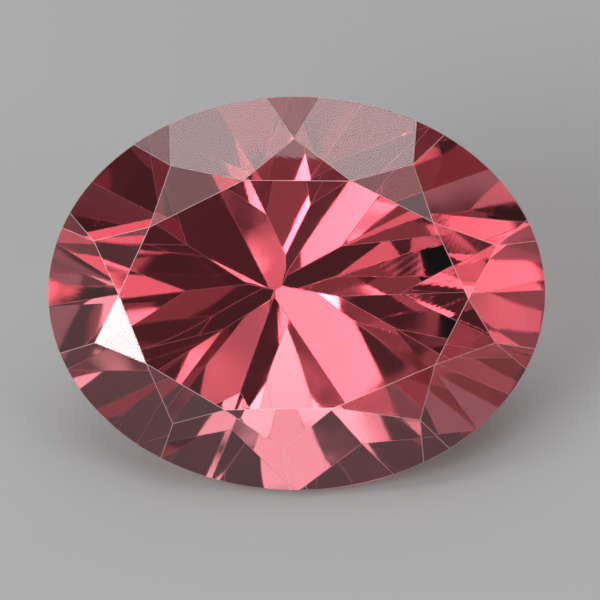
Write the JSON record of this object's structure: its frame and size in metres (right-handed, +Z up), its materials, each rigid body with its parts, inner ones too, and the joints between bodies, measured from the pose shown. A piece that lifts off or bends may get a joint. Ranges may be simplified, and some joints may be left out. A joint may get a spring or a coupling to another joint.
{
  "type": "oval cut gemstone",
  "caption": "Loose faceted oval gemstone with a many-sided flat table and a deep pointed pavilion, lying on one pavilion facet.",
  "frame": {"origin": "middle of the bottom of the bounding box, on the floor that the stone lies on", "axes": "+X along the stone's length, +Z up, and the table leans towards -Y"},
  "size_m": [0.012, 0.0076, 0.0073],
  "materials": {
    "gem": "polished"
  },
  "bodies": {
    "root": {"gemstone": "gem"}
  },
  "joints": []
}
